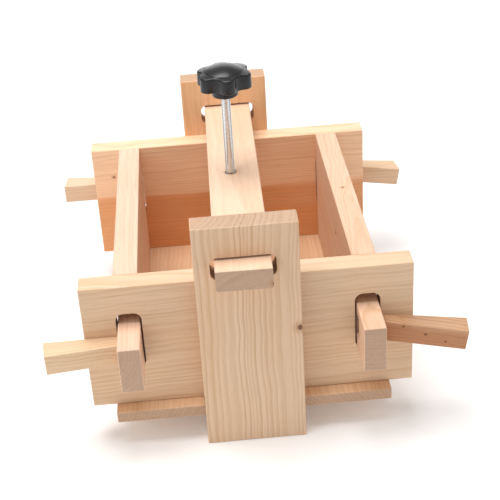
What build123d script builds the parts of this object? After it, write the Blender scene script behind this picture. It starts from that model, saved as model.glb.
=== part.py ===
from build123d import *
import math
import os

# Bookbinding press. Two long boards and two side walls make an open box on a base board. The walls'
# tenons pass through the long boards and are locked by four tapered wedges. Slotted uprights stand
# against the long boards, tied together below the base by a rail, and carry a loose cross beam. The
# beam holds a tee nut for the press screw, which a star knob turns and a swivelling foot ends.
#
# Frame: millimetres, X to the right, Y from the front board to the rear one, Z up. The origin is on
# the ground, under the middle of the whole press. The right wedges stand further out than the left
# ones, so the box's own middle plane is middle_offset from it. The shapes below are drawn round the
# box's middle plane, and moved at the end.

# ---- Box: boards and walls ----
inside_width = 216.0          # between the side walls
inside_length = 298.0         # between the front and rear boards
wall_height = 141.5           # boards and walls, above the base
board_thickness = 25.0        # boards, walls and uprights come from one stock
board_overhang = 34.0         # of the long boards, past the walls' outer faces
eased_edge = 1.2              # radius that breaks every long edge

# ---- Through tenons and their wedges ----
tenon_thickness = 22.5
tenon_height = 50.0
tenon_rise = 48.5             # tenon's lower face, above the base
tenon_projection = 47.5       # past the long board's outer face
mortise_side_clearance = 1.75
mortise_corner_clearance = 0.2   # of the tenon's lower edges, in the mortise's round corners
mortise_head_room = 11.5         # above the tenon
mortise_radius = 8.0
wedge_height = 22.0
wedge_rise = 14.0             # wedge's lower face, above the tenon's
wedge_tip_thickness = 14.2    # where the wedge leaves the tenon's inner cheek
wedge_taper = 1.0 / 8.0
wedge_length = 99.5
wedge_relief = 3.0            # of the tenon's slot, inside the long board's outer face
wedge_top_clearance = 0.6
right_slot_top_clearance = 4.0   # the right tenons' slots are cut higher, so their wedges droop
front_right_drawn_out = 11.5     # of the loose right wedges, from the place where they bind
rear_right_drawn_out = 7.3
right_wedge_droop = 9.0          # degrees, butt down, over the slot's outer lower edge
middle_offset = -7.0             # of the box's middle plane, from the whole press's

# ---- Base ----
base_thickness = 13.0
base_overhang_side = 10.0     # past the walls' outer faces
base_overhang_end = 15.0      # past the long boards' outer faces
base_notch_clearance = 0.5    # each side of an upright

# ---- Cross beam and bottom rail, one stock ----
bar_width = 55.0
bar_height = 22.0
beam_nose = 22.0              # past the front upright's outer face
beam_round = 3.0              # along the beam's lower edges
rail_ground_clearance = 7.5
rail_housing = 12.0           # depth of the rail's blind mortises in the uprights
rail_screw_head_diameter = 8.0
rail_screw_head_height = 3.0
rail_screw_diameter = 4.0
rail_screw_length = 30.0
rail_screw_point = 4.0        # length of the screw's tapered point
rail_screw_spacing = 88.0
rail_screw_count = 4
rail_screw_clearance = 0.05   # all round, in the drilled holes

# ---- Uprights ----
upright_width = 103.0
slot_above_board = 13.8       # from the long board's top to the slot's floor
slot_side_clearance = 4.8
slot_top_clearance = 2.2
slot_offset = 3.3             # of each slot, to the left as the upright is seen from outside
slot_radius = 7.0
upright_above_slot = 33.0

# ---- Press screw, tee nut and foot ----
screw_x = -3.4                # of the hole, off the beam's middle line
thread_diameter = 10.0
thread_length = 150.0         # below the knob, down to the foot
thread_clearance = 0.05       # of the plain nut bore, all round
thread_chamfer = 0.8
head_across_flats = 16.0
head_height = 6.4
hole_clearance = 0.1          # of the beam's hole round the tee nut's barrel
nut_wall = 1.2
nut_barrel_length = 14.0
nut_flange_diameter = 27.0
nut_flange_thickness = 1.6
nut_prong_length = 8.0
nut_prong_width = 3.0
nut_prong_thickness = 1.2
nut_prong_count = 4
journal_diameter = 6.4
journal_length = 9.5
journal_clearance = 0.05
clip_thickness = 1.2
clip_diameter = 11.5
clip_groove_depth = 0.9
clip_clearance = 0.05         # round the groove's floor
clip_end = 1.5                # from the journal's end to the clip
foot_diameter = 40.0
foot_plate = 6.0
foot_hub_diameter = 18.0
foot_edge = 1.0
foot_recess_clearance = 1.0   # round the clip

# ---- Star knob ----
knob_diameter = 60.0
knob_lobes = 6
knob_lobe_radius = 8.0
knob_valley_reach = 22.8      # from the axis to the hollows between the lobes
knob_rim_height = 17.0
knob_hub_diameter = 28.0
knob_hub_height = 10.5
knob_edge = 2.2
knob_turned = 37.5            # first lobe's angle from X
head_seat_height = 10.0       # from the hub's lower face to the bolt head's seat
head_pocket_clearance = 0.1   # across each flat
cap_diameter = 41.0
cap_rise = 5.5                # of the dome above the rim
cap_recess = 7.0              # depth of the cap's seat in the knob
cap_skirt_diameter = 30.0
cap_skirt_wall = 1.6
cap_clearance = 0.05

# ---- Heights ----
rail_top = rail_ground_clearance + bar_height
base_top = rail_top + base_thickness
wall_top = base_top + wall_height
tenon_bottom = base_top + tenon_rise
tenon_top = tenon_bottom + tenon_height
mortise_corner = mortise_radius - mortise_side_clearance
mortise_foot_room = mortise_radius - math.sqrt(mortise_radius ** 2 - mortise_corner ** 2)
mortise_bottom = tenon_bottom - mortise_foot_room - mortise_corner_clearance
mortise_top = tenon_top + mortise_head_room
wedge_bottom = tenon_bottom + wedge_rise
wedge_top = wedge_bottom + wedge_height
slot_floor = wall_top + slot_above_board
slot_top = slot_floor + bar_height + slot_top_clearance
upright_top = slot_top + upright_above_slot
beam_top = slot_floor + bar_height

# ---- Places in plan ----
wall_inner = inside_width / 2
wall_outer = wall_inner + board_thickness
wall_middle = (wall_inner + wall_outer) / 2
board_inner = inside_length / 2
board_outer = board_inner + board_thickness
upright_outer = board_outer + board_thickness
tenon_end = board_outer + tenon_projection
cheek_inner = wall_middle - tenon_thickness / 2
cheek_outer = wall_middle + tenon_thickness / 2
base_end = board_outer + base_overhang_end
beam_front = -(upright_outer + beam_nose)
beam_rear = upright_outer
screw_y = (beam_front + beam_rear) / 2
beam_turn = math.degrees(math.atan2(slot_offset, (board_outer + upright_outer) / 2))

# ---- Press screw heights, at rest with the screw half way through its travel ----
screw_reach = 59.3            # from the beam's top down to the thread's lower end
thread_bottom = beam_top - screw_reach
thread_top = thread_bottom + thread_length
hub_bottom = thread_top
rim_bottom = hub_bottom + knob_hub_height
rim_top = rim_bottom + knob_rim_height
head_seat = hub_bottom + head_seat_height
journal_bottom = thread_bottom - journal_length
clip_bottom = journal_bottom + clip_end
clip_top = clip_bottom + clip_thickness
foot_bottom = journal_bottom - foot_edge


def block(x_low, x_high, y_low, y_high, z_low, z_high):
    """Box between two corners."""
    size = (x_high - x_low, y_high - y_low, z_high - z_low)
    middle = ((x_low + x_high) / 2, (y_low + y_high) / 2, (z_low + z_high) / 2)
    return Pos(*middle) * Box(*size)


def eased(solid, radius=eased_edge):
    """Plain block with all twelve edges rounded."""
    return fillet(solid.edges(), radius)


def cylinder_up(radius, z_low, z_high, x=0.0, y=0.0):
    """Upright cylinder between two heights."""
    return Pos(x, y, (z_low + z_high) / 2) * Cylinder(radius, z_high - z_low)


def rounded_hole_along_y(width, z_low, z_high, radius, y_low, y_high, x=0.0):
    """Prism along Y with a rounded rectangle for its section."""
    outline = RectangleRounded(width, z_high - z_low, radius)
    face = Plane(origin=(x, y_low, (z_low + z_high) / 2), x_dir=(1, 0, 0), z_dir=(0, 1, 0)) * outline
    return extrude(face, y_high - y_low)


def wedge_thickness(x):
    """Distance from a wedge's flat face to its sloping one, at a distance x from the middle plane."""
    return wedge_tip_thickness + (x - cheek_inner) * wedge_taper


def plan_prism(corners, z_low, z_high):
    """Upright prism on a polygon in the XY plane."""
    return Pos(0, 0, z_low) * extrude(make_face(Polyline(*corners, close=True)), z_high - z_low)


def right_front_wedge():
    """Tapered wedge of the right wall's front tenon, its butt square to its sloping face."""
    butt = cheek_inner + wedge_length
    thickness = wedge_thickness(butt)
    corners = [
        (cheek_inner, -board_outer),
        (butt, -board_outer),
        (butt - thickness * wedge_taper, -board_outer - wedge_thickness(butt - thickness * wedge_taper)),
        (cheek_inner, -board_outer - wedge_tip_thickness),
    ]
    return eased(plan_prism(corners, wedge_bottom, wedge_top), eased_edge * 0.75)


def loose_wedge(drawn_out):
    """Right front wedge drawn outwards in its slot and drooping over the slot's outer lower edge."""
    wedge = Pos(drawn_out - cheek_outer, 0, -wedge_bottom) * right_front_wedge()
    return Pos(cheek_outer, 0, wedge_bottom) * Rot(0, right_wedge_droop, 0) * wedge


def right_front_wedge_slot(top_clearance):
    """Slot through the right wall's front tenon, sloping where the wedge's sloping face bears."""
    reach = eased_edge * 2
    corners = [
        (cheek_inner - reach, -board_outer + wedge_relief),
        (cheek_outer + reach, -board_outer + wedge_relief),
        (cheek_outer + reach, -board_outer - wedge_thickness(cheek_outer + reach)),
        (cheek_inner - reach, -board_outer - wedge_thickness(cheek_inner - reach)),
    ]
    return plan_prism(corners, wedge_bottom, wedge_top + top_clearance)


def turned_round(shape, to_left, to_rear):
    """A right front shape, mirrored to its own corner."""
    if to_left:
        shape = mirror(shape, Plane.YZ)
    if to_rear:
        shape = mirror(shape, Plane.XZ)
    return shape


def long_board(rear):
    """Front or rear board, with a rounded mortise for each wall's tenon."""
    half = wall_outer + board_overhang
    board = eased(block(-half, half, -board_outer, -board_inner, base_top, wall_top))
    width = tenon_thickness + 2 * mortise_side_clearance
    for side in (-1, 1):
        board -= rounded_hole_along_y(width, mortise_bottom, mortise_top, mortise_radius,
                                      -board_outer - 1, -board_inner + 1, side * wall_middle)
    return turned_round(board, False, rear)


def side_wall(left):
    """Side wall with a tenon at each end, each tenon slotted for its wedge."""
    wall = eased(block(wall_inner, wall_outer, -board_inner, board_inner, base_top, wall_top))
    tenon = eased(block(cheek_inner, cheek_outer, -tenon_end, tenon_end, tenon_bottom, tenon_top))
    wall += tenon
    slot = right_front_wedge_slot(wedge_top_clearance if left else right_slot_top_clearance)
    wall -= slot
    wall -= turned_round(slot, False, True)
    return turned_round(wall, left, False)


def rail_screw_places():
    """Places of the rail's screws along Y."""
    first = -rail_screw_spacing * (rail_screw_count - 1) / 2
    return [first + rail_screw_spacing * index for index in range(rail_screw_count)]


def rail_screw(y, allowance=0.0):
    """Countersunk wood screw driven up through the rail, or its hole with an allowance all round."""
    shank = rail_screw_diameter / 2 + allowance
    head = rail_screw_head_diameter / 2 + allowance
    neck = rail_ground_clearance + rail_screw_head_height
    point = rail_ground_clearance + rail_screw_length
    start = rail_ground_clearance
    outline = Polyline((0, start), (head, start), (shank, neck), (shank, point - rail_screw_point),
                       (0, point + allowance), close=True)
    return Pos(0, y, 0) * revolve(make_face(Plane.XZ * outline), Axis.Z)


def base_board():
    """Base board, notched at each end round an upright."""
    half_width = wall_outer + base_overhang_side
    board = eased(block(-half_width, half_width, -base_end, base_end, rail_top, base_top))
    half_notch = upright_width / 2 + base_notch_clearance
    for end in (-1, 1):
        inner, outer = sorted((end * board_outer, end * (base_end + 1)))
        board -= block(-half_notch, half_notch, inner, outer, rail_top - 1, base_top + 1)
    for y in rail_screw_places():
        board -= rail_screw(y, rail_screw_clearance)
    return board


def base_rail():
    """Rail under the base, housed in both uprights and drilled for its screws."""
    reach = board_outer + rail_housing
    rail = block(-bar_width / 2, bar_width / 2, -reach, reach, rail_ground_clearance, rail_top)
    rail = fillet(rail.edges().filter_by(Axis.Y).group_by(Axis.Z)[0], eased_edge)
    for y in rail_screw_places():
        rail -= rail_screw(y, rail_screw_clearance)
    return rail


def upright(rear):
    """Upright with the beam's slot above and the rail's blind mortise below."""
    half = upright_width / 2
    post = eased(block(-half, half, -upright_outer, -board_outer, 0, upright_top))
    slot_width = bar_width + 2 * slot_side_clearance
    post -= rounded_hole_along_y(slot_width, slot_floor, slot_top, slot_radius,
                                 -upright_outer - 1, -board_outer + 1, -slot_offset)
    rail = block(-bar_width / 2, bar_width / 2, -board_outer - rail_housing, -board_outer + 1,
                 rail_ground_clearance, rail_top)
    post -= fillet(rail.edges().filter_by(Axis.Y).group_by(Axis.Z)[0], eased_edge)
    return turned_round(post, rear, rear)


def nut_prongs():
    """Tee nut's prongs, bent up from the flange's rim into the beam."""
    radius = nut_flange_diameter / 2 - nut_prong_thickness / 2
    prong = block(radius - nut_prong_thickness / 2, radius + nut_prong_thickness / 2,
                  -nut_prong_width / 2, nut_prong_width / 2, slot_floor, slot_floor + nut_prong_length)
    step = 360 / nut_prong_count
    return [Pos(screw_x, screw_y, 0) * Rot(0, 0, 45 + step * index) * prong for index in range(nut_prong_count)]


def top_beam():
    """Cross beam, drilled for the tee nut's barrel and cut by its prongs."""
    beam = block(-bar_width / 2, bar_width / 2, beam_front, beam_rear, slot_floor, beam_top)
    lower = beam.edges().filter_by(Axis.Y).group_by(Axis.Z)[0]
    beam = fillet(lower, beam_round)
    upper = beam.edges().group_by(Axis.Z)[-1]
    beam = fillet(upper, eased_edge)
    barrel = thread_diameter / 2 + thread_clearance + nut_wall
    beam -= cylinder_up(barrel + hole_clearance, slot_floor - 1, beam_top + 1, screw_x, screw_y)
    for prong in nut_prongs():
        beam -= prong
    return beam


def tee_nut():
    """Tee nut pressed into the beam from below."""
    bore = thread_diameter / 2 + thread_clearance
    flange_bottom = slot_floor - nut_flange_thickness
    nut = cylinder_up(nut_flange_diameter / 2, flange_bottom, slot_floor, screw_x, screw_y)
    nut += cylinder_up(bore + nut_wall, flange_bottom, slot_floor + nut_barrel_length, screw_x, screw_y)
    for prong in nut_prongs():
        nut += prong
    return nut - cylinder_up(bore, flange_bottom - 1, slot_floor + nut_barrel_length + 1, screw_x, screw_y)


def hex_prism(across_flats, z_low, z_high):
    """Hexagonal prism on the screw's axis."""
    outline = RegularPolygon(across_flats / 2, 6, major_radius=False)
    return Pos(screw_x, screw_y, z_low) * extrude(outline, z_high - z_low)


def press_screw():
    """Hex-headed screw, its lower end turned down to a grooved journal."""
    radius = thread_diameter / 2
    journal = journal_diameter / 2
    groove = journal - clip_groove_depth
    profile = Polyline(
        (0, journal_bottom), (journal, journal_bottom), (journal, clip_bottom), (groove, clip_bottom),
        (groove, clip_top), (journal, clip_top), (journal, thread_bottom),
        (radius - thread_chamfer, thread_bottom), (radius, thread_bottom + thread_chamfer),
        (radius, head_seat), (0, head_seat), close=True)
    shaft = Pos(screw_x, screw_y, 0) * revolve(make_face(Plane.XZ * profile), Axis.Z)
    return shaft + hex_prism(head_across_flats, head_seat, head_seat + head_height)


def star_outline():
    """Outline of the knob's rim: round lobes joined by tangent hollows."""
    lobe_reach = knob_diameter / 2 - knob_lobe_radius
    half_step = math.pi / knob_lobes
    towards = lobe_reach * math.cos(half_step)
    hollow_radius = (
        (lobe_reach ** 2 + knob_valley_reach ** 2 - 2 * towards * knob_valley_reach - knob_lobe_radius ** 2)
        / (2 * (knob_lobe_radius + towards - knob_valley_reach)))
    hollow_reach = knob_valley_reach + hollow_radius
    share = knob_lobe_radius / (knob_lobe_radius + hollow_radius)

    def point(reach, angle):
        return Vector(reach * math.cos(angle), reach * math.sin(angle))

    arcs = []
    for index in range(knob_lobes):
        lobe = math.radians(knob_turned) + 2 * half_step * index
        centre = point(lobe_reach, lobe)
        start = centre + (point(hollow_reach, lobe - half_step) - centre) * share
        end = centre + (point(hollow_reach, lobe + half_step) - centre) * share
        next_centre = point(lobe_reach, lobe + 2 * half_step)
        next_start = next_centre + (point(hollow_reach, lobe + half_step) - next_centre) * share
        arcs.append(ThreePointArc(start, point(knob_diameter / 2, lobe), end))
        arcs.append(ThreePointArc(end, point(knob_valley_reach, lobe + half_step), next_start))
    return make_face(Curve() + arcs)


def star_knob():
    """Star knob with a hub below, a hexagonal pocket for the bolt head and a seat for the cap."""
    rim = Pos(screw_x, screw_y, rim_bottom) * extrude(star_outline(), knob_rim_height)
    rim = fillet(rim.edges().group_by(Axis.Z)[-1], knob_edge)
    knob = rim + cylinder_up(knob_hub_diameter / 2, hub_bottom, rim_bottom + 1, screw_x, screw_y)
    knob -= cylinder_up(thread_diameter / 2 + thread_clearance, hub_bottom - 1, head_seat, screw_x, screw_y)
    knob -= hex_prism(head_across_flats + 2 * head_pocket_clearance, head_seat, rim_top)
    seat = cap_skirt_diameter / 2 + cap_clearance
    return knob - cylinder_up(seat, rim_top - cap_recess, rim_top + 1, screw_x, screw_y)


def knob_cap():
    """Domed cap that closes the knob, its skirt pushed into the knob's seat."""
    half = cap_diameter / 2
    dome_radius = (half ** 2 + cap_rise ** 2) / (2 * cap_rise)
    dome = Pos(screw_x, screw_y, rim_top + cap_rise - dome_radius) * Sphere(dome_radius)
    dome &= cylinder_up(half, rim_top, rim_top + 2 * cap_rise, screw_x, screw_y)
    outer = cap_skirt_diameter / 2
    skirt = cylinder_up(outer, rim_top - cap_recess, rim_top, screw_x, screw_y)
    skirt -= cylinder_up(outer - cap_skirt_wall, rim_top - cap_recess - 1, rim_top, screw_x, screw_y)
    return dome + skirt


def pressure_foot():
    """Round pressing foot that swivels on the screw's journal."""
    plate_top = foot_bottom + foot_plate
    foot = cylinder_up(foot_diameter / 2, foot_bottom, plate_top, screw_x, screw_y)
    foot = chamfer(foot.edges(), foot_edge * 0.8)
    foot += cylinder_up(foot_hub_diameter / 2, plate_top - 1, thread_bottom, screw_x, screw_y)
    foot -= cylinder_up(journal_diameter / 2 + journal_clearance, foot_bottom - 1, thread_bottom + 1,
                        screw_x, screw_y)
    recess = clip_diameter / 2 + foot_recess_clearance
    return foot - cylinder_up(recess, foot_bottom - 1, clip_top, screw_x, screw_y)


def foot_clip():
    """Open retaining clip in the journal's groove."""
    ring = cylinder_up(clip_diameter / 2, clip_bottom, clip_top, screw_x, screw_y)
    seat = journal_diameter / 2 - clip_groove_depth + clip_clearance
    ring -= cylinder_up(seat, clip_bottom - 1, clip_top + 1, screw_x, screw_y)
    half_gap = journal_diameter / 4
    gap = block(screw_x, screw_x + clip_diameter, screw_y - half_gap, screw_y + half_gap,
                clip_bottom - 1, clip_top + 1)
    return ring - gap


def rail_screws():
    """All of the rail's screws, as separate solids in one group."""
    return Compound([rail_screw(y) for y in rail_screw_places()])


def along_beam(shape):
    """A shape of the beam, turned with it from one upright's offset slot to the other's."""
    return Rot(0, 0, -beam_turn) * shape


nodes = {
    "front_board": long_board(rear=False),
    "rear_board": long_board(rear=True),
    "left_wall": side_wall(left=True),
    "right_wall": side_wall(left=False),
    "wedge_front_left": turned_round(right_front_wedge(), True, False),
    "wedge_front_right": loose_wedge(front_right_drawn_out),
    "wedge_rear_left": turned_round(right_front_wedge(), True, True),
    "wedge_rear_right": turned_round(loose_wedge(rear_right_drawn_out), False, True),
    "base_board": base_board(),
    "base_rail": base_rail(),
    "rail_screws": rail_screws(),
    "front_upright": upright(rear=False),
    "rear_upright": upright(rear=True),
    "top_beam": along_beam(top_beam()),
    "tee_nut": along_beam(tee_nut()),
    "press_screw": along_beam(press_screw()),
    "star_knob": along_beam(star_knob()),
    "knob_cap": along_beam(knob_cap()),
    "pressure_foot": along_beam(pressure_foot()),
    "foot_clip": along_beam(foot_clip()),
}

os.makedirs("parts", exist_ok=True)
for name, shape in nodes.items():
    export_step(Pos(middle_offset, 0, 0) * shape, "parts/" + name + ".step")
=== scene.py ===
import math
import random

import bmesh
import bpy
from bpy.props import FloatProperty, FloatVectorProperty, IntProperty, PointerProperty
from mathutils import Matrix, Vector


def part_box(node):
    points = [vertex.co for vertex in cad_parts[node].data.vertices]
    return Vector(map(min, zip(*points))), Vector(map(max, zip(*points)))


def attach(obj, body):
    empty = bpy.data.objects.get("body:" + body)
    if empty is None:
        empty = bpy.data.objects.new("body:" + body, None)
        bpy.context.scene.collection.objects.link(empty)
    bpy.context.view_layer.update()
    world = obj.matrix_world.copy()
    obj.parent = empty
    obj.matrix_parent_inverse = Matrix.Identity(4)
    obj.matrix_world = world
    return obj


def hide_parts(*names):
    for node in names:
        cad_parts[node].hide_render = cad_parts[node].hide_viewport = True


bl_info = {
    "name": "Bookbinding press",
    "version": (1, 0, 0),
    "blender": (4, 5, 0),
    "location": "View3D > Sidebar > Press",
    "description": "Pine, plated steel and moulded plastic for a wedged bookbinding press",
    "category": "Object",
}

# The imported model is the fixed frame: metres, X right, Y to the rear, Z up.
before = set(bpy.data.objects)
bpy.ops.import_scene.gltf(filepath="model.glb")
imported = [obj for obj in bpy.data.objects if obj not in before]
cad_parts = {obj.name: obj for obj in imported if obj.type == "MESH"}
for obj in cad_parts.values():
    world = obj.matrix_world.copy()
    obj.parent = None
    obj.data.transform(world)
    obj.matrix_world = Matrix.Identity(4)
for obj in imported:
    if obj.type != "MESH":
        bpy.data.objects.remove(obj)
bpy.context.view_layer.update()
MM = 0.001

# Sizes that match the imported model's solids.
THREAD_RADIUS = 5.0 * MM
THREAD_END_CHAMFER = 0.9 * MM
JOURNAL_RADIUS = 3.2 * MM
JOURNAL_CHAMFER = 0.4 * MM
CLIP_GROOVE = 0.9 * MM
HEAD_HEIGHT = 6.4 * MM
HEAD_HALF_FLATS = 8.0 * MM
KNOB_LOBES = 6
KNOB_TIP = 30.0 * MM
KNOB_HUB_RADIUS = 14.0 * MM
KNOB_BORE = 5.3 * MM
KNOB_RIM = 17.0 * MM


# ---------------------------------------------------------------------------------------------
# Shader maths
# ---------------------------------------------------------------------------------------------

class Wire:
    """A node socket that Python arithmetic works on. Each operation adds its Math node."""

    def __init__(self, finish, socket):
        self.finish = finish
        self.socket = socket

    def _math(self, operation, *values, clamp=False):
        settings = {"operation": operation, "use_clamp": clamp}
        return self.finish.node("ShaderNodeMath", settings, dict(enumerate(values)))

    def __add__(self, other):
        return self._math("ADD", self, other)

    __radd__ = __add__

    def __sub__(self, other):
        return self._math("SUBTRACT", self, other)

    def __rsub__(self, other):
        return self._math("SUBTRACT", other, self)

    def __mul__(self, other):
        return self._math("MULTIPLY", self, other)

    __rmul__ = __mul__

    def __truediv__(self, other):
        return self._math("DIVIDE", self, other)

    def __rtruediv__(self, other):
        return self._math("DIVIDE", other, self)

    def __abs__(self):
        return self._math("ABSOLUTE", self)

    def fraction(self):
        return self._math("FRACT", self)

    def root(self):
        return self._math("SQRT", self)

    def greater(self, other):
        return self._math("MAXIMUM", self, other)

    def held(self):
        """Clamped between 0 and 1."""
        return self._math("ADD", self, 0.0, clamp=True)

    def step(self, low, high):
        """Smooth rise from 0 at low to 1 at high."""
        return self.finish.node(
            "ShaderNodeMapRange", {"interpolation_type": "SMOOTHSTEP"},
            {"Value": self, "From Min": low, "From Max": high})


class Finish:
    """A material under construction, round one Principled shader."""

    def __init__(self, name, **constants):
        self.material = bpy.data.materials.new(name)
        self.material.use_nodes = True
        self.tree = self.material.node_tree
        self.tree.nodes.clear()
        self.output = self.tree.nodes.new("ShaderNodeOutputMaterial")
        self.shader = self.tree.nodes.new("ShaderNodeBsdfPrincipled")
        self.tree.links.new(self.shader.outputs[0], self.output.inputs[0])
        for socket, value in constants.items():
            self.shader.inputs[socket.replace("_", " ")].default_value = value

    def node(self, kind, settings=None, inputs=None, output=0):
        """Adds a node: its settings first, then its sockets' values or links."""
        node = self.tree.nodes.new(kind)
        for key, value in (settings or {}).items():
            if key == "stops":
                self._stops(node.color_ramp, value)
            else:
                setattr(node, key, value)
        for key, value in (inputs or {}).items():
            if isinstance(value, Wire):
                self.tree.links.new(value.socket, node.inputs[key])
            else:
                node.inputs[key].default_value = value
        return Wire(self, node.outputs[output])

    @staticmethod
    def _stops(ramp, stops):
        while len(ramp.elements) < len(stops):
            ramp.elements.new(0.5)
        for element, (place, colour) in zip(ramp.elements, stops):
            element.position = place
            element.color = (*colour, 1.0)

    def feed(self, socket, wire):
        """Links a wire to one of the shader's sockets."""
        self.tree.links.new(wire.socket, self.shader.inputs[socket])

    def place(self):
        """The object's own coordinates, in metres, and their three parts."""
        point = self.node("ShaderNodeTexCoord", output="Object")
        parts = [self.node("ShaderNodeSeparateXYZ", {}, {0: point}, axis) for axis in range(3)]
        return point, parts

    def facing(self):
        """The object's own normal, as three parts."""
        normal = self.node("ShaderNodeTexCoord", output="Normal")
        return [self.node("ShaderNodeSeparateXYZ", {}, {0: normal}, axis) for axis in range(3)]

    def join(self, x, y, z):
        return self.node("ShaderNodeCombineXYZ", {}, {0: x, 1: y, 2: z})

    def noise(self, vector, scale=1.0, detail=2.0, roughness=0.5):
        """Noise between 0 and 1."""
        return self.node("ShaderNodeTexNoise", {"noise_dimensions": "3D"},
                         {"Vector": vector, "Scale": scale, "Detail": detail, "Roughness": roughness})

    def mix(self, factor, first, second, blend="MIX"):
        """Blends two colours."""
        node = self.tree.nodes.new("ShaderNodeMix")
        node.data_type = "RGBA"
        node.blend_type = blend
        for key, value in ((0, factor), (6, first), (7, second)):
            if isinstance(value, Wire):
                self.tree.links.new(value.socket, node.inputs[key])
            elif key == 0:
                node.inputs[key].default_value = value
            else:
                node.inputs[key].default_value = (*value, 1.0)
        return Wire(self, node.outputs[2])

    def bump(self, height, strength, distance):
        """Feeds a height to the shader's normal."""
        self.feed("Normal", self.node("ShaderNodeBump", {}, {
            "Height": height, "Strength": strength, "Distance": distance}))


# ---------------------------------------------------------------------------------------------
# Properties
# ---------------------------------------------------------------------------------------------

def colour_property(name, description, default):
    return FloatVectorProperty(name=name, description=description, default=default, size=3,
                               min=0.0, max=1.0, subtype="COLOR")


class PressPine(bpy.types.PropertyGroup):
    """Colours and scale of the pine."""

    sapwood: colour_property("Sapwood", "Pale early wood", (0.79, 0.575, 0.405))
    latewood: colour_property("Late wood", "Darker line that ends each year's ring",
                              (0.60, 0.355, 0.185))
    heartwood: colour_property("Heartwood", "Reddish wood near the pith", (0.66, 0.33, 0.155))
    end_grain: colour_property("End grain", "Sawn ends of the boards", (0.47, 0.31, 0.215))
    knot: colour_property("Knot", "Middle of a knot", (0.16, 0.065, 0.025))
    ring: FloatProperty(name="Ring width", description="Distance between two year rings",
                        default=3.4 * MM, unit="LENGTH")
    relief: FloatProperty(name="Relief", description="Height of the raised grain",
                          default=0.05 * MM, unit="LENGTH", precision=5)


class PressScrew(bpy.types.PropertyGroup):
    """Thread of the press screw."""

    pitch: FloatProperty(name="Pitch", description="Advance in one turn", default=1.5 * MM,
                         unit="LENGTH")
    depth: FloatProperty(name="Thread depth", description="From crest to root", default=0.92 * MM,
                         unit="LENGTH")
    sides: IntProperty(name="Sides", description="Straight sides of one turn", default=36, min=12)
    steel: colour_property("Steel", "Bright plated steel", (0.80, 0.81, 0.82))


class PressKnob(bpy.types.PropertyGroup):
    """Shape and colour of the star knob."""

    plastic: colour_property("Plastic", "Moulded black plastic", (0.012, 0.012, 0.014))
    fall: FloatProperty(name="Fall", description="Drop of the rim from the cap to a lobe's end",
                        default=1.6 * MM, unit="LENGTH")
    edge: FloatProperty(name="Edge", description="Radius along the rim's top", default=2.2 * MM,
                        unit="LENGTH")
    valley: FloatProperty(name="Valley", description="From the axis to the hollows between the lobes",
                          default=24.0 * MM, unit="LENGTH")
    lobe: FloatProperty(name="Lobe", description="Radius of a lobe's end", default=8.6 * MM,
                        unit="LENGTH")
    turned: FloatProperty(name="Turned", description="First lobe's angle from the X axis",
                          default=math.radians(36.5), subtype="ANGLE")
    points: IntProperty(name="Points", description="Points round the knob's outline", default=216,
                        min=36)


class PressStage(bpy.types.PropertyGroup):
    """Camera, lights and floor."""

    camera: FloatVectorProperty(name="Camera", description="Place of the camera", size=3,
                                default=(-0.0454, -1.1615, 0.7835), subtype="TRANSLATION", unit="LENGTH")
    yaw: FloatProperty(name="Yaw", description="Turn of the view to the right", default=0.04406,
                       subtype="ANGLE")
    pitch: FloatProperty(name="Pitch", description="Tilt of the view", default=-0.52282, subtype="ANGLE")
    roll: FloatProperty(name="Roll", description="Turn of the picture", default=-0.06203,
                        subtype="ANGLE")
    lens: FloatProperty(name="Lens", description="Focal length on a 36 mm sensor", default=84.37,
                        unit="CAMERA")
    key: FloatProperty(name="Key light", description="Power of the large lamp", default=34.0,
                       unit="POWER")
    room: FloatProperty(name="Room light", description="Strength of the light from all round",
                        default=0.42)


# ---------------------------------------------------------------------------------------------
# Pine
# ---------------------------------------------------------------------------------------------

class Plank:
    """How one board was sawn: its grain, the pith it grew round, its colour and its knots.

    grain is the axis the fibres run along. pith is the pith's place across the grain, in mm from the
    board's middle, and lean is how far it wanders for each metre along it. heart is the radius of the
    heartwood round the pith, in mm. knots are (along, first, second, radius, through) in mm from the
    board's middle, where through is the axis that the knot runs along. The colour factor holds the
    board's own tone, and on the rear board and the left wall also painted light.
    """

    def __init__(self, grain, pith, lean=(0.0, 0.0), ring=1.0, contrast=0.5, tone_and_painted_light=(1.0, 1.0, 1.0),
                 heart=0.0, heart_depth=1.0, knots=(), seed=0.0):
        self.grain = grain
        self.pith = pith
        self.lean = lean
        self.ring = ring
        self.contrast = contrast
        self.tone_and_painted_light = tone_and_painted_light
        self.heart = heart
        self.heart_depth = heart_depth
        self.knots = knots
        self.seed = seed


AXES = "XYZ"


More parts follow.
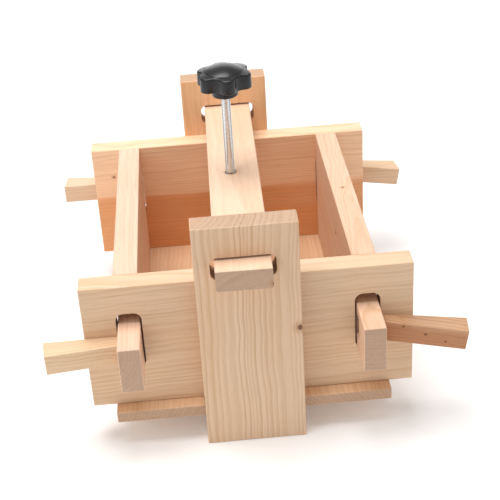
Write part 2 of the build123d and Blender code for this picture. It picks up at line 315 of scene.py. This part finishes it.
def pine(node, plank, settings):
    """Pine for one board, solid right through: rings, fibres, end grain, heartwood and knots."""
    finish = Finish("pine_" + node, Roughness=0.6, Specular_IOR_Level=0.35)
    low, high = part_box(node)
    middle = (low + high) / 2
    point, parts = finish.place()
    along_axis = AXES.index(plank.grain)
    across_axes = [axis for axis in range(3) if axis != along_axis]
    along = (parts[along_axis] - middle[along_axis]) / MM
    first = (parts[across_axes[0]] - middle[across_axes[0]]) / MM
    second = (parts[across_axes[1]] - middle[across_axes[1]]) / MM

    # Distance from the pith, which wanders, and whose rings wave a little along the board.
    seed = plank.seed
    wander = finish.noise(finish.join(along / 90 + seed, first / 70, second / 70), 1.0, 2.0) - 0.5
    wave = finish.noise(finish.join(along / 260 - seed, seed, seed), 1.0, 1.0) - 0.5
    from_first = first - plank.pith[0] - along * (plank.lean[0] * MM) + wave * 22
    from_second = second - plank.pith[1] - along * (plank.lean[1] * MM)
    radius = (from_first * from_first + from_second * from_second).root() + wander * 9.0

    # Knots push the rings aside and darken the wood.
    knot_mask = None
    halo_mask = None
    for place_along, place_first, place_second, size, through in plank.knots:
        steps = [along - place_along, first - place_first, second - place_second]
        names = [plank.grain, AXES[across_axes[0]], AXES[across_axes[1]]]
        flat = [step for step, name in zip(steps, names) if name != through]
        distance = (flat[0] * flat[0] * (0.72 if names[0] != through else 1.0)
                    + flat[1] * flat[1]).root()
        distance = distance + wander * size * 0.5
        radius = radius + (1 - distance.step(0.0, size * 3.2)) * size * 1.1
        core = 1 - distance.step(size * 0.55, size * 1.05)
        halo = 1 - distance.step(size * 0.9, size * 3.0)
        knot_mask = core if knot_mask is None else knot_mask.greater(core)
        halo_mask = halo if halo_mask is None else halo_mask.greater(halo)

    # Years grow unevenly, so the rings come in wide and narrow bands.
    spacing = settings.ring / MM * plank.ring
    unevenness = finish.noise(finish.join(radius / 17 + seed, seed, 0.0), 1.0, 2.0) - 0.5
    years = radius / spacing + unevenness * 5.0
    phase = years.fraction()
    late = phase.step(0.30, 0.90) * (1 - phase.step(0.93, 1.0))
    year_mood = finish.noise(finish.join(years / 1.7, seed, 0.0), 1.0, 1.0)
    late = late * (1.5 * year_mood - 0.25).greater(0.08) * 1.25

    # Fibres: long streaks, and finer ones within them.
    streak = finish.noise(finish.join(along / 240 + seed, first / 5.5, second / 5.5), 1.0, 3.0, 0.6)
    fibre = finish.noise(finish.join(along / 26, first / 0.55, second / 0.55 + seed), 1.0, 3.0, 0.65)
    fleck = finish.noise(finish.join(along / 7, first / 0.32 + seed, second / 0.32), 1.0, 1.0)
    cloud = finish.noise(finish.join(along / 150, first / 48 - seed, second / 48), 1.0, 1.0)

    # The board's colour factor scales its colours: its own tone, and on the rear board and the left wall
    # also painted light that brightens the inside of the box.
    sap = [a * b for a, b in zip(settings.sapwood, plank.tone_and_painted_light)]
    dark = [a * b for a, b in zip(settings.latewood, plank.tone_and_painted_light)]
    colour = finish.mix((late * plank.contrast).held(), sap, dark)
    if plank.heart:
        edge = radius + (streak - 0.5) * 16
        heart = (1 - edge.step(plank.heart - 5, plank.heart + 5)) * plank.heart_depth
        red = [a * b for a, b in zip(settings.heartwood, plank.tone_and_painted_light)]
        deep = [value * 0.72 for value in red]
        colour = finish.mix(heart.held(), colour, finish.mix((late * plank.contrast).held(), red, deep))
    colour = finish.mix(((streak - 0.42) * 1.5).held() * 0.55, colour, dark)
    colour = finish.mix(((cloud - 0.45) * 1.8).held() * 0.30, colour, (0.90, 0.74, 0.56))
    colour = finish.mix(((0.48 - cloud) * 1.8).held() * 0.35, colour, (0.70, 0.40, 0.22))
    colour = finish.mix((fibre - 0.5).step(-0.02, 0.22) * 0.16, colour, (0.34, 0.17, 0.07), "MULTIPLY")
    colour = finish.mix(fleck.step(0.66, 0.80) * 0.22, colour, (0.42, 0.22, 0.10), "MULTIPLY")

    # End grain: greyer and darker, with the rings as arcs and the cut fibres as specks.
    facing = finish.facing()[along_axis]
    end = abs(facing).step(0.80, 0.97)
    speck = finish.noise(point, 1500.0, 2.0, 0.7)
    rays = finish.noise(finish.join(first / 3.1, second / 3.1, seed), 1.0, 3.0, 0.7)
    end_dark = [value * 0.66 for value in settings.end_grain]
    end_rings = (late * 0.75 * plank.contrast + (rays - 0.45)).held()
    end_tinted = finish.mix(end_rings, settings.end_grain, end_dark)
    end_colour = finish.mix(speck.step(0.42, 0.70) * 0.40, end_tinted, (0.40, 0.27, 0.18), "MULTIPLY")
    end_colour = finish.mix(0.30, end_colour, colour)
    if plank.heart:
        end_colour = finish.mix(heart.held() * 0.75, end_colour, red)
    colour = finish.mix(end, colour, end_colour)
    if knot_mask is not None:
        colour = finish.mix(halo_mask * 0.45, colour, (0.46, 0.20, 0.08))
        colour = finish.mix(knot_mask * 0.92, colour, settings.knot)
    finish.feed("Base Color", colour)

    finish.feed("Roughness", (0.50 + 0.16 * fibre + 0.10 * end).held())
    height = fibre * 0.5 + late * 0.35 + fleck.step(0.66, 0.80) * -0.5 + end * speck * 0.8
    finish.bump(height, 0.35, settings.relief)
    return finish.material


PLANKS = {
    "front_board": Plank("X", (70.0, -118.0), (0.0, 40.0), 1.5, 0.50, heart=84.0, heart_depth=0.60,
                         seed=1.3, tone_and_painted_light=(0.99, 0.98, 0.94)),
    # Painted light: the rear board's colour factor is raised above 1 to brighten the inside of the box.
    "rear_board": Plank("X", (42.0, -128.0), (0.0, 10.0), 1.0, 0.55, heart=142.0, seed=4.1,
                        tone_and_painted_light=(1.22, 1.13, 1.06),
                        knots=((-143.0, -12.5, 34.0, 1.4, "Y"),)),
    # Painted light: the left wall's colour factor is raised a little to brighten its face inside the
    # box.
    "left_wall": Plank("Y", (-46.0, 26.0), (0.0, 8.0), 1.25, 0.35, seed=7.7, tone_and_painted_light=(1.05, 1.0, 1.06)),
    "right_wall": Plank("Y", (10.0, 92.0), (34.0, 20.0), 0.8, 0.50, seed=2.9, tone_and_painted_light=(1.0, 0.93, 0.93),
                        knots=((0.0, 0.0, 70.0, 1.5, "Z"), (-30.0, -12.5, 30.0, 2.2, "X"))),
    "wedge_front_left": Plank("X", (22.0, 18.0), (60.0, 0.0), 1.1, 0.5, seed=5.5,
                              tone_and_painted_light=(1.0, 0.98, 0.90)),
    "wedge_front_right": Plank("X", (-15.0, -10.0), (-100.0, -220.0), 0.9, 0.9, heart=20.0, seed=9.2,
                               tone_and_painted_light=(0.76, 0.62, 0.52),
                               knots=((4.0, -8.0, 1.0, 1.7, "Y"), (24.0, -8.0, -8.0, 1.3, "Y"),
                                      (-18.0, -8.0, 11.0, 1.6, "Y"))),
    "wedge_rear_left": Plank("X", (-20.0, 30.0), (20.0, 40.0), 1.0, 0.5, seed=3.3),
    "wedge_rear_right": Plank("X", (-24.0, 24.0), (20.0, -30.0), 1.2, 0.5, seed=6.1,
                              tone_and_painted_light=(1.0, 0.99, 0.95)),
    "base_board": Plank("Y", (12.0, -60.0), (16.0, 0.0), 1.3, 0.5, seed=8.4, tone_and_painted_light=(0.98, 0.90, 0.80),
                        knots=((-125.0, 52.0, 6.5, 1.7, "Z"), (-128.0, 59.0, 6.5, 1.2, "Z"))),
    "base_rail": Plank("Y", (10.0, -40.0), (10.0, 10.0), 1.0, 0.5, seed=1.9),
    "front_upright": Plank("Z", (-84.0, 24.0), (22.0, 6.0), 1.6, 0.80, heart=50.0, heart_depth=0.20,
                           seed=11.6, tone_and_painted_light=(0.99, 0.97, 0.94),
                           knots=((8.0, 49.0, -12.5, 3.1, "Y"),)),
    "rear_upright": Plank("Z", (30.0, 62.0), (24.0, 0.0), 1.1, 0.50, seed=12.8, tone_and_painted_light=(1.12, 0.94, 0.74)),
    "top_beam": Plank("Y", (24.0, -52.0), (14.0, 12.0), 1.5, 0.38, seed=10.4, tone_and_painted_light=(1.07, 1.03, 1.05),
                      knots=((-209.0, 24.5, -6.0, 2.4, "Y"),)),
}


# ---------------------------------------------------------------------------------------------
# Metal and plastic
# ---------------------------------------------------------------------------------------------

def plated_steel(name, colour, roughness, turned=0.0, centre=(0.0, 0.0)):
    """Plated steel, mottled, with fine turning marks round a vertical axis if turned is above 0."""
    finish = Finish(name, Metallic=1.0)
    point, (x, y, z) = finish.place()
    mottle = finish.noise(point, 420.0, 3.0, 0.6)
    smear = finish.noise(finish.join(x * 90, y * 90, z * 30), 1.0, 2.0)
    worn = [value * 0.80 for value in colour]
    finish.feed("Base Color", finish.mix(((mottle - 0.35) * 1.3).held() * 0.6, colour, worn))
    finish.feed("Roughness", (roughness + 0.10 * (mottle - 0.5) + 0.12 * (smear - 0.5)).held())
    height = mottle
    if turned:
        across = ((x - centre[0]) * (x - centre[0]) + (y - centre[1]) * (y - centre[1])).root()
        height = height * 0.3 + (across / (0.35 * MM) + z / (0.35 * MM)).fraction() * turned
    finish.bump(height, 0.25, 0.02 * MM)
    return finish.material


def moulded_plastic(name, colour):
    """Glossy black plastic with a faint orange peel, dust and handling marks."""
    finish = Finish(name, Specular_IOR_Level=0.42)
    point = finish.place()[0]
    peel = finish.noise(point, 260.0, 2.0)
    dust = finish.noise(point, 2600.0, 2.0, 0.8)
    smear = finish.noise(point, 45.0, 3.0, 0.6)
    finish.feed("Base Color", finish.mix(dust.step(0.62, 0.78) * 0.25, colour, (0.10, 0.10, 0.105)))
    finish.feed("Roughness", (0.24 + 0.20 * (smear - 0.35)).held())
    finish.bump(peel + dust * 0.10, 0.10, 0.08 * MM)
    return finish.material


# ---------------------------------------------------------------------------------------------
# Meshes
# ---------------------------------------------------------------------------------------------

def piece_from(name, points, faces, material, body, replaced=(), smooth=True):
    """A new piece from points and faces, riding on a body."""
    mesh = bpy.data.meshes.new(name)
    mesh.from_pydata(points, [], faces)
    mesh.update()
    checker = bmesh.new()
    checker.from_mesh(mesh)
    bmesh.ops.remove_doubles(checker, verts=checker.verts, dist=1e-7)
    bmesh.ops.recalc_face_normals(checker, faces=checker.faces)
    checker.to_mesh(mesh)
    checker.free()
    for polygon in mesh.polygons:
        polygon.use_smooth = smooth
    mesh.materials.append(material)
    piece = bpy.data.objects.new(name, mesh)
    bpy.context.scene.collection.objects.link(piece)
    if smooth:
        mesh.set_sharp_from_angle(angle=math.radians(38))
    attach(piece, body)
    for node in replaced:
        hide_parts(node)
    return piece


def stacked(rings, closed_low=True, closed_high=True):
    """Points and faces of rings stacked in order, each with as many points."""
    points = [point for ring in rings for point in ring]
    count = len(rings[0])
    faces = []
    for level in range(len(rings) - 1):
        for index in range(count):
            following = (index + 1) % count
            faces.append((level * count + index, level * count + following,
                          (level + 1) * count + following, (level + 1) * count + index))
    if closed_low:
        faces.append(tuple(range(count))[::-1])
    if closed_high:
        faces.append(tuple((len(rings) - 1) * count + index for index in range(count)))
    return points, faces


def circle(radius, z, sides, centre, turn=0.0):
    """Level ring of points."""
    return [(centre[0] + radius * math.cos(turn + 2 * math.pi * index / sides),
             centre[1] + radius * math.sin(turn + 2 * math.pi * index / sides), z)
            for index in range(sides)]


def screw_axis():
    """Place in plan of the press screw's axis."""
    low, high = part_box("press_screw")
    return ((low.x + high.x) / 2, (low.y + high.y) / 2)


def threaded_rod(start, end, centre, settings):
    """Points and faces of a right-hand thread. Its end faces are left to be filled afterwards."""
    crest = THREAD_RADIUS
    root = crest - settings.depth
    sides, pitch = settings.sides, settings.pitch
    # One pitch of the outline: share of the pitch, and radius.
    profile = ((0.00, root), (0.12, root), (0.44, crest), (0.56, crest), (0.88, root))
    points = []
    for turn in range(-1, int((end - start) / pitch) + 2):
        for share, radius in profile:
            for index in range(sides):
                angle = 2 * math.pi * index / sides
                z = start + pitch * (turn + share + index / sides)
                z = min(max(z, start), end)
                r = min(radius, crest - THREAD_END_CHAMFER + (z - start))
                points.append((centre[0] + r * math.cos(angle), centre[1] + r * math.sin(angle), z))
    # Each row climbs one pitch in a turn, so its last side joins the row one turn up.
    row_count, per_turn = len(points) // sides, len(profile)
    faces = []
    for level in range(row_count - 1):
        for index in range(sides - 1):
            a = level * sides + index
            faces.append((a, a + 1, a + 1 + sides, a + sides))
        if level + 1 + per_turn < row_count:
            a = level * sides + sides - 1
            b = (level + per_turn) * sides
            faces.append((a, b, b + sides, a + sides))
    faces = [face for face in faces
             if len({tuple(round(c, 9) for c in points[i]) for i in face}) > 2]
    return points, faces


def fill_ends(obj):
    """Takes out edges of no length, and fills the loops of edges that have one face."""
    mesh = bmesh.new()
    mesh.from_mesh(obj.data)
    bmesh.ops.dissolve_degenerate(mesh, dist=1e-7, edges=mesh.edges)
    loose = [edge for edge in mesh.edges if len(edge.link_faces) == 1]
    bmesh.ops.holes_fill(mesh, edges=loose, sides=0)
    mesh.to_mesh(obj.data)
    mesh.free()


def make_screw(settings):
    """Builds the press screw: a thread, the journal and shank inside its ends, and the head."""
    centre = screw_axis()
    low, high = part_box("press_screw")
    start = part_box("pressure_foot")[1].z
    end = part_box("star_knob")[0].z + 2.0 * MM
    steel = plated_steel("bright_thread", settings.steel, 0.16)
    points, faces = threaded_rod(start, end, centre, settings)
    fill_ends(piece_from("press_screw_thread", points, faces, steel, "screw",
                         ["press_screw"]))

    # The journal and the shank run on inside the thread as one core, a little under its root.
    clip_low, clip_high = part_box("foot_clip")
    core = THREAD_RADIUS - settings.depth - 0.15 * MM
    lap = 0.2 * MM
    seat = high.z - HEAD_HEIGHT
    groove = JOURNAL_RADIUS - CLIP_GROOVE
    outline = [(JOURNAL_RADIUS - JOURNAL_CHAMFER, low.z), (JOURNAL_RADIUS, low.z + JOURNAL_CHAMFER),
               (JOURNAL_RADIUS, clip_low.z), (groove, clip_low.z), (groove, clip_high.z),
               (JOURNAL_RADIUS, clip_high.z), (JOURNAL_RADIUS, start + lap), (core, start + lap),
               (core, end - lap), (THREAD_RADIUS, end - lap), (THREAD_RADIUS, seat)]
    points, faces = stacked([circle(radius, z, 48, centre) for radius, z in outline])
    piece_from("press_screw_core", points, faces, steel, "screw")
    corner = HEAD_HALF_FLATS / math.cos(math.pi / 6)
    shoulder = high.z - 1.0 * MM
    points, faces = stacked([circle(corner, seat, 6, centre), circle(corner, shoulder, 6, centre),
                             circle(corner * 0.93, high.z, 6, centre)])
    piece_from("press_screw_head", points, faces, steel, "screw", smooth=False)


def star_reach(angle, settings):
    """Distance from the axis to the star's outline: round lobes joined by tangent hollows."""
    valley, lobe_radius = settings.valley, settings.lobe
    half_step = math.pi / KNOB_LOBES
    lobe_reach = KNOB_TIP - lobe_radius
    towards = lobe_reach * math.cos(half_step)
    hollow = ((lobe_reach ** 2 + valley ** 2 - 2 * towards * valley - lobe_radius ** 2)
              / (2 * (lobe_radius + towards - valley)))
    hollow_reach = valley + hollow
    off = abs((angle - settings.turned + half_step) % (2 * half_step) - half_step)
    share = lobe_radius / (lobe_radius + hollow)
    join_x = lobe_reach + (hollow_reach * math.cos(half_step) - lobe_reach) * share
    join_y = hollow_reach * math.sin(half_step) * share
    if off <= math.atan2(join_y, join_x):
        side = lobe_reach * math.sin(off)
        return lobe_reach * math.cos(off) + math.sqrt(max(lobe_radius ** 2 - side ** 2, 0.0))
    away = half_step - off
    side = hollow_reach * math.sin(away)
    return hollow_reach * math.cos(away) - math.sqrt(max(hollow ** 2 - side ** 2, 0.0))


def make_knob(settings):
    """Builds the star knob and its domed cap."""
    centre = screw_axis()
    plastic = moulded_plastic("black_knob", settings.plastic)
    low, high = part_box("star_knob")
    cap_low, cap_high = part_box("knob_cap")
    cap_radius = (cap_high.x - cap_low.x) / 2
    rim_top = high.z
    rim_bottom = rim_top - KNOB_RIM
    count = settings.points
    reach = [star_reach(2 * math.pi * k / count, settings) for k in range(count)]

    def ring(inset, z_of):
        points = []
        for k in range(count):
            angle = 2 * math.pi * k / count
            r = reach[k] - inset
            points.append((centre[0] + r * math.cos(angle), centre[1] + r * math.sin(angle),
                           z_of(reach[k])))
        return points

    def top(r):
        share = max(0.0, (r - cap_radius) / (KNOB_TIP - cap_radius))
        return rim_top - settings.fall * share ** 1.4

    bore, hub, edge = KNOB_BORE, KNOB_HUB_RADIUS, settings.edge
    hub_edge, lower_edge, draft = 0.8 * MM, 0.9 * MM, 0.35 * MM
    seat = rim_top - 0.6 * MM
    rings = [circle(bore, rim_bottom + 1 * MM, count, centre), circle(bore, low.z, count, centre),
             circle(hub - hub_edge, low.z, count, centre), circle(hub, low.z + hub_edge, count, centre),
             circle(hub, rim_bottom, count, centre)]
    rings.append(ring(2.4 * MM, lambda r: rim_bottom))
    for step in range(5):
        turn = math.pi / 2 * step / 4
        rings.append(ring(lower_edge * (1 - math.sin(turn)),
                          lambda r, t=turn: rim_bottom + lower_edge * (1 - math.cos(t))))
    for step in range(9):
        turn = math.pi / 2 * step / 8
        rings.append(ring(edge * (1 - math.cos(turn)) + draft,
                          lambda r, t=turn: top(r) - edge + edge * math.sin(t)))
    for share in (0.35, 0.7, 1.0):
        level = []
        for k in range(count):
            angle = 2 * math.pi * k / count
            outer = reach[k] - edge - draft
            r = outer + (cap_radius + draft - outer) * share
            z = top(reach[k]) + (rim_top - top(reach[k])) * share
            level.append((centre[0] + r * math.cos(angle), centre[1] + r * math.sin(angle), z))
        rings.append(level)
    for radius in (cap_radius + 0.15 * MM, cap_radius - 1.5 * MM, bore):
        rings.append(circle(radius, seat, count, centre))
    points, faces = stacked(rings, False, False)
    last = (len(rings) - 1) * count
    for k in range(count):
        following = (k + 1) % count
        faces.append((last + k, last + following, following, k))
    piece_from("star_knob_body", points, faces, plastic, "screw", ["star_knob"])

    rise = cap_high.z - rim_top
    dome_radius = (cap_radius ** 2 + rise ** 2) / (2 * rise)
    rings = [circle(cap_radius - 1.4 * MM, rim_top - 0.5 * MM, 96, centre),
             circle(cap_radius - 0.3 * MM, rim_top - 0.5 * MM, 96, centre)]
    for step in range(1, 17):
        r = cap_radius * math.cos(math.pi / 2 * step / 17)
        z = rim_top + rise - dome_radius + math.sqrt(dome_radius ** 2 - r ** 2)
        rings.append(circle(r, z, 96, centre))
    points, faces = stacked(rings)
    piece_from("knob_dome", points, faces, plastic, "screw", ["knob_cap"])


def make_splinters(material):
    """Torn chips of wood round the screw's hole in the beam, lifted by the drill's exit."""
    centre = screw_axis()
    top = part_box("top_beam")[1].z
    chance = random.Random(7)
    points, faces = [], []
    for index in range(26):
        angle = 2 * math.pi * index / 26 + chance.uniform(-0.1, 0.1)
        near = chance.uniform(5.6, 6.5) * MM
        length = chance.uniform(1.2, 3.6) * MM * (0.4 + 0.9 * abs(math.cos(angle)))
        width = chance.uniform(0.4, 1.1) * MM
        lift = chance.uniform(0.10, 0.70) * MM
        lean = chance.uniform(-0.35, 0.35)
        base = Vector((centre[0] + near * math.cos(angle), centre[1] + near * math.sin(angle), top))
        run = Vector((math.cos(angle + lean), math.sin(angle + lean), 0)) * length
        side = Vector((-run.y, run.x, 0)).normalized() * width / 2
        ends = [base - side, base + side, base + run + side * 0.3, base + run - side * 0.3]
        tops = [base - side * 0.7 + Vector((0, 0, lift)), base + side * 0.7 + Vector((0, 0, lift)),
                base + run * 0.8 + side * 0.2 + Vector((0, 0, 0.05 * MM)),
                base + run * 0.8 - side * 0.2 + Vector((0, 0, 0.05 * MM))]
        first = len(points)
        points += [tuple(p - Vector((0, 0, 0.15 * MM))) for p in ends] + [tuple(p) for p in tops]
        faces += [tuple(first + i for i in face) for face in
                  ((3, 2, 1, 0), (4, 5, 6, 7), (0, 1, 5, 4), (1, 2, 6, 5), (2, 3, 7, 6), (3, 0, 4, 7))]
    return piece_from("hole_splinters", points, faces, material, "beam", smooth=False)


def assign(node, material):
    """Gives a CAD node a new material in its own slot."""
    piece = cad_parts[node]
    if not piece.material_slots:
        piece.data.materials.append(material)
    piece.material_slots[0].link = "OBJECT"
    piece.material_slots[0].material = material


# ---------------------------------------------------------------------------------------------
# Operators
# ---------------------------------------------------------------------------------------------

class PRESS_OT_boards(bpy.types.Operator):
    """Gives every wooden piece its own plank of pine"""

    bl_idname = "press.boards"
    bl_label = "Pine boards"

    def execute(self, context):
        for node, plank in PLANKS.items():
            assign(node, pine(node, plank, context.scene.press_pine))
        make_splinters(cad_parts["top_beam"].material_slots[0].material)
        return {"FINISHED"}


class PRESS_OT_screw(bpy.types.Operator):
    """Builds the threaded press screw"""

    bl_idname = "press.screw"
    bl_label = "Press screw"

    def execute(self, context):
        make_screw(context.scene.press_screw)
        return {"FINISHED"}


class PRESS_OT_knob(bpy.types.Operator):
    """Builds the star knob and its cap"""

    bl_idname = "press.knob"
    bl_label = "Star knob"

    def execute(self, context):
        make_knob(context.scene.press_knob)
        return {"FINISHED"}


class PRESS_OT_fittings(bpy.types.Operator):
    """Finishes the tee nut, foot, clip and rail screws"""

    bl_idname = "press.fittings"
    bl_label = "Steel fittings"

    def execute(self, context):
        centre = screw_axis()
        zinc = plated_steel("zinc_plate", (0.66, 0.67, 0.68), 0.30)
        turned = plated_steel("turned_steel", (0.62, 0.62, 0.63), 0.26, 1.0, centre)
        for node in ("tee_nut", "foot_clip", "rail_screws"):
            assign(node, zinc)
        assign("pressure_foot", turned)
        return {"FINISHED"}


class PRESS_OT_stage(bpy.types.Operator):
    """Sets up the floor, the lights and the camera"""

    bl_idname = "press.stage"
    bl_label = "Stage"

    def execute(self, context):
        settings = context.scene.press_stage
        make_floor()
        make_lights(settings)
        make_camera(settings)
        return {"FINISHED"}


def make_floor():
    """A large pale floor under the uprights' feet."""
    finish = Finish("pale_floor", Roughness=0.9, Specular_IOR_Level=0.2,
                    Emission_Color=(1.0, 1.0, 1.0, 1.0), Emission_Strength=0.12)
    point = finish.place()[0]
    shade = finish.noise(point, 2.0, 2.0)
    finish.feed("Base Color", finish.mix(shade * 0.3, (0.93, 0.93, 0.93), (0.90, 0.90, 0.90)))
    half = 6.0
    points = [(-half, -half, 0), (half, -half, 0), (half, half, 0), (-half, half, 0)]
    mesh = bpy.data.meshes.new("floor")
    mesh.from_pydata(points, [], [(0, 1, 2, 3)])
    mesh.materials.append(finish.material)
    floor = bpy.data.objects.new("floor", mesh)
    floor.location.z = -0.2 * MM
    bpy.context.scene.collection.objects.link(floor)


def area_light(name, place, target, size, power, colour=(1.0, 1.0, 1.0)):
    """A square lamp that points at a target."""
    data = bpy.data.lights.new(name, "AREA")
    data.shape = "SQUARE"
    data.size = size
    data.energy = power
    data.color = colour
    lamp = bpy.data.objects.new(name, data)
    lamp.location = place
    direction = Vector(target) - Vector(place)
    lamp.rotation_euler = direction.to_track_quat("-Z", "Y").to_euler()
    lamp.visible_camera = False
    bpy.context.scene.collection.objects.link(lamp)
    return lamp


def make_lights(settings):
    """Soft studio light: a pale room, a big lamp overhead and a softer one from the left."""
    scene = bpy.context.scene
    world = bpy.data.worlds.new("room")
    scene.world = world
    world.use_nodes = True
    background = world.node_tree.nodes["Background"]
    background.inputs[0].default_value = (1.0, 0.985, 0.97, 1.0)
    background.inputs[1].default_value = settings.room
    middle = (0.0, 0.0, 0.12)
    area_light("overhead", (-0.30, -0.02, 1.9), middle, 1.2, settings.key * 1.0)
    area_light("left_window", (-1.5, -1.2, 1.3), middle, 1.0, settings.key * 0.17)
    area_light("right_fill", (1.6, -0.7, 0.9), middle, 1.0, settings.key * 0.05)
    area_light("rear_panel", (0.2, 2.2, 0.75), middle, 1.6, settings.key * 0.30)
    scene.view_settings.view_transform = "Standard"
    scene.view_settings.look = "None"


def make_camera(settings):
    """Camera above the front board, a little to the left, looking down at the box."""
    data = bpy.data.cameras.new("camera")
    data.lens = settings.lens
    data.sensor_width = 36.0
    data.clip_start = 0.01
    data.clip_end = 50.0
    camera = bpy.data.objects.new("camera", data)
    bpy.context.scene.collection.objects.link(camera)
    yaw, pitch, roll = settings.yaw, settings.pitch, settings.roll
    forward = Vector((math.sin(yaw) * math.cos(pitch), math.cos(yaw) * math.cos(pitch), math.sin(pitch)))
    right = Vector((math.cos(yaw), -math.sin(yaw), 0.0))
    up = right.cross(forward)
    turned_right = right * math.cos(roll) + up * math.sin(roll)
    turned_up = up * math.cos(roll) - right * math.sin(roll)
    matrix = camera.matrix_world.copy()
    for row in range(3):
        matrix[row][0] = turned_right[row]
        matrix[row][1] = turned_up[row]
        matrix[row][2] = -forward[row]
        matrix[row][3] = settings.camera[row]
    camera.matrix_world = matrix
    bpy.context.scene.camera = camera


class PRESS_PT_panel(bpy.types.Panel):
    """Lists the press's pieces and their settings"""

    bl_idname = "PRESS_PT_panel"
    bl_label = "Bookbinding press"
    bl_space_type = "VIEW_3D"
    bl_region_type = "UI"
    bl_category = "Press"

    def draw(self, context):
        for operator, group in STEPS:
            column = self.layout.column(align=True)
            column.operator(operator.bl_idname)
            if group is not None:
                settings = getattr(context.scene, group)
                for key in settings.__class__.__annotations__:
                    column.prop(settings, key)


GROUPS = {"press_pine": PressPine, "press_screw": PressScrew, "press_knob": PressKnob,
          "press_stage": PressStage}
STEPS = ((PRESS_OT_boards, "press_pine"), (PRESS_OT_screw, "press_screw"), (PRESS_OT_knob, "press_knob"),
         (PRESS_OT_fittings, None), (PRESS_OT_stage, "press_stage"))
CLASSES = (*GROUPS.values(), *(operator for operator, group in STEPS), PRESS_PT_panel)


def register():
    for cls in CLASSES:
        bpy.utils.register_class(cls)
    for name, group in GROUPS.items():
        setattr(bpy.types.Scene, name, PointerProperty(type=group))


def unregister():
    for name in GROUPS:
        delattr(bpy.types.Scene, name)
    for cls in reversed(CLASSES):
        bpy.utils.unregister_class(cls)


def main():
    register()
    for operator, _ in STEPS:
        verb = operator.bl_idname.split(".")[1]
        getattr(bpy.ops.press, verb)()


if __name__ == "__main__":
    main()
